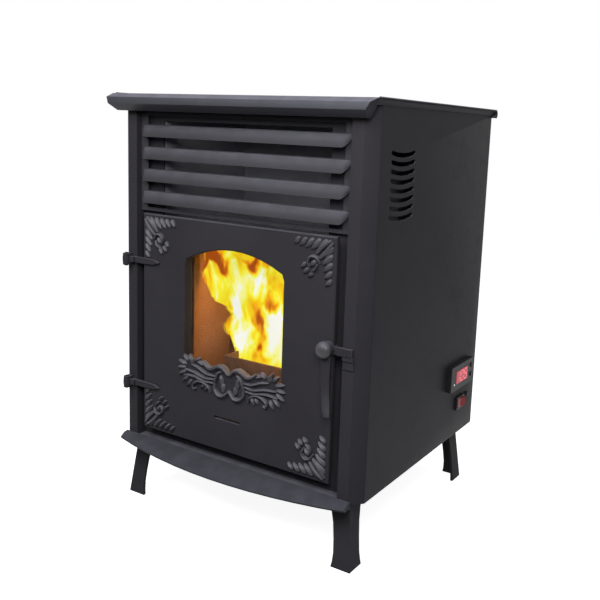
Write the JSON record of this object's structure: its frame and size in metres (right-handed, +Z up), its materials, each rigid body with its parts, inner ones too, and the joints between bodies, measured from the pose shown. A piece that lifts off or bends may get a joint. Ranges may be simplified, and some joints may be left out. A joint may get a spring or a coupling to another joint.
{
  "type": "pellet stove",
  "caption": "Free-standing pellet stove: folded steel casing on splayed legs, cast door with arched window, slatted air outlet, hopper lid and side controls.",
  "frame": {"origin": "on the floor, under the middle of the whole stove", "axes": "+Z up, the door faces -Y, the controls are on the +X side"},
  "size_m": [0.5274, 0.55, 0.7415],
  "materials": {
    "casing_paint": "satin black stove paint",
    "cast_black": "matt black cast iron",
    "bare_steel": "satin",
    "galvanised": "galvanised sheet",
    "fired_steel": "heat stained",
    "brick": "rough board",
    "rope": "woven",
    "fire_glass": "clear ceramic glass",
    "motor_black": "semi-gloss",
    "black_plastic": "fine grain",
    "red_plastic": "gloss",
    "red_display": "gloss"
  },
  "bodies": {
    "casing": {"base_plate": "casing_paint", "left_side_panel": "casing_paint", "right_side_panel": "casing_paint", "front_plate": "casing_paint", "back_panel": "galvanised", "top_plate": "casing_paint", "louvre_panel": "casing_paint", "ash_ledge": "casing_paint", "leg_front_left": "cast_black", "leg_front_right": "cast_black", "leg_back_left": "cast_black", "leg_back_right": "cast_black", "lid_hinge_pin": "bare_steel", "hopper": "galvanised", "upper_hinge_bracket": "cast_black", "lower_hinge_bracket": "cast_black", "latch_keeper": "cast_black", "auger_tube": "galvanised", "auger_gearmotor": "motor_black", "firebox": "fired_steel", "burn_pot_deck": "fired_steel", "burn_pot": "fired_steel", "ash_pan": "galvanised", "left_liner": "brick", "right_liner": "brick", "rear_liner": "brick", "igniter": "bare_steel", "pellet_chute": "fired_steel", "flue_collar": "galvanised", "air_inlet_pipe": "galvanised", "exhaust_duct": "galvanised", "exhaust_blower_housing": "cast_black", "exhaust_motor": "motor_black", "fan_housing": "galvanised", "fan_motor": "motor_black", "convection_duct": "casing_paint", "control_box": "black_plastic", "display_window": "red_display", "rocker_frame": "black_plastic", "fuse_cap": "black_plastic", "power_inlet": "black_plastic"},
    "door": {"door": "cast_black", "door_gasket": "rope", "glass_gasket": "rope", "door_glass": "fire_glass", "left_glass_retainer": "bare_steel", "right_glass_retainer": "bare_steel", "upper_hinge_strap": "cast_black", "lower_hinge_strap": "cast_black"},
    "handle": {"handle_spindle": "cast_black", "latch_arm": "cast_black", "handle_lever": "cast_black"},
    "lid": {"hopper_lid": "casing_paint"},
    "rocker": {"power_rocker": "red_plastic"},
    "plus": {"plus_button": "black_plastic"},
    "minus": {"minus_button": "black_plastic"},
    "auger": {"auger_screw": "bare_steel"},
    "exhaust_fan": {"exhaust_wheel": "bare_steel"},
    "room_fan": {"fan_wheel": "bare_steel"}
  },
  "joints": [
    {"name": "door_hinge", "type": "hinge", "parent": "casing", "child": "door", "pos_m": [-0.23175, -0.233, 0.332], "axis": [0, 0, -1], "range_deg": [0, 110]},
    {"name": "handle_turn", "type": "hinge", "parent": "door", "child": "handle", "pos_m": [0.18825, -0.226, 0.357], "axis": [0, -1, 0], "range_deg": [0, 80]},
    {"name": "lid_hinge", "type": "hinge", "parent": "casing", "child": "lid", "pos_m": [-0.00175, 0.209, 0.7369], "axis": [-1, 0, 0], "range_deg": [0, 100]},
    {"name": "rocker_tilt", "type": "hinge", "parent": "casing", "child": "rocker", "pos_m": [0.25175, 0.154, 0.178], "axis": [0, 0, 1], "range_deg": [0, 16]},
    {"name": "plus_press", "type": "slide", "parent": "casing", "child": "plus", "axis": [-1, 0, 0], "range_m": [0, 0.0012], "stiffness_N_per_m": 400},
    {"name": "minus_press", "type": "slide", "parent": "casing", "child": "minus", "axis": [-1, 0, 0], "range_m": [0, 0.0012], "stiffness_N_per_m": 400},
    {"name": "auger_turn", "type": "hinge", "parent": "casing", "child": "auger", "pos_m": [-0.00175, 0.149, 0.274], "axis": [0, -0.7923, 0.6101], "continuous": true},
    {"name": "exhaust_fan_spin", "type": "hinge", "parent": "casing", "child": "exhaust_fan", "pos_m": [-0.13175, 0.067, 0.211], "axis": [1, 0, 0], "continuous": true},
    {"name": "room_fan_spin", "type": "hinge", "parent": "casing", "child": "room_fan", "pos_m": [0.09825, 0.052, 0.216], "axis": [1, 0, 0], "continuous": true}
  ]
}
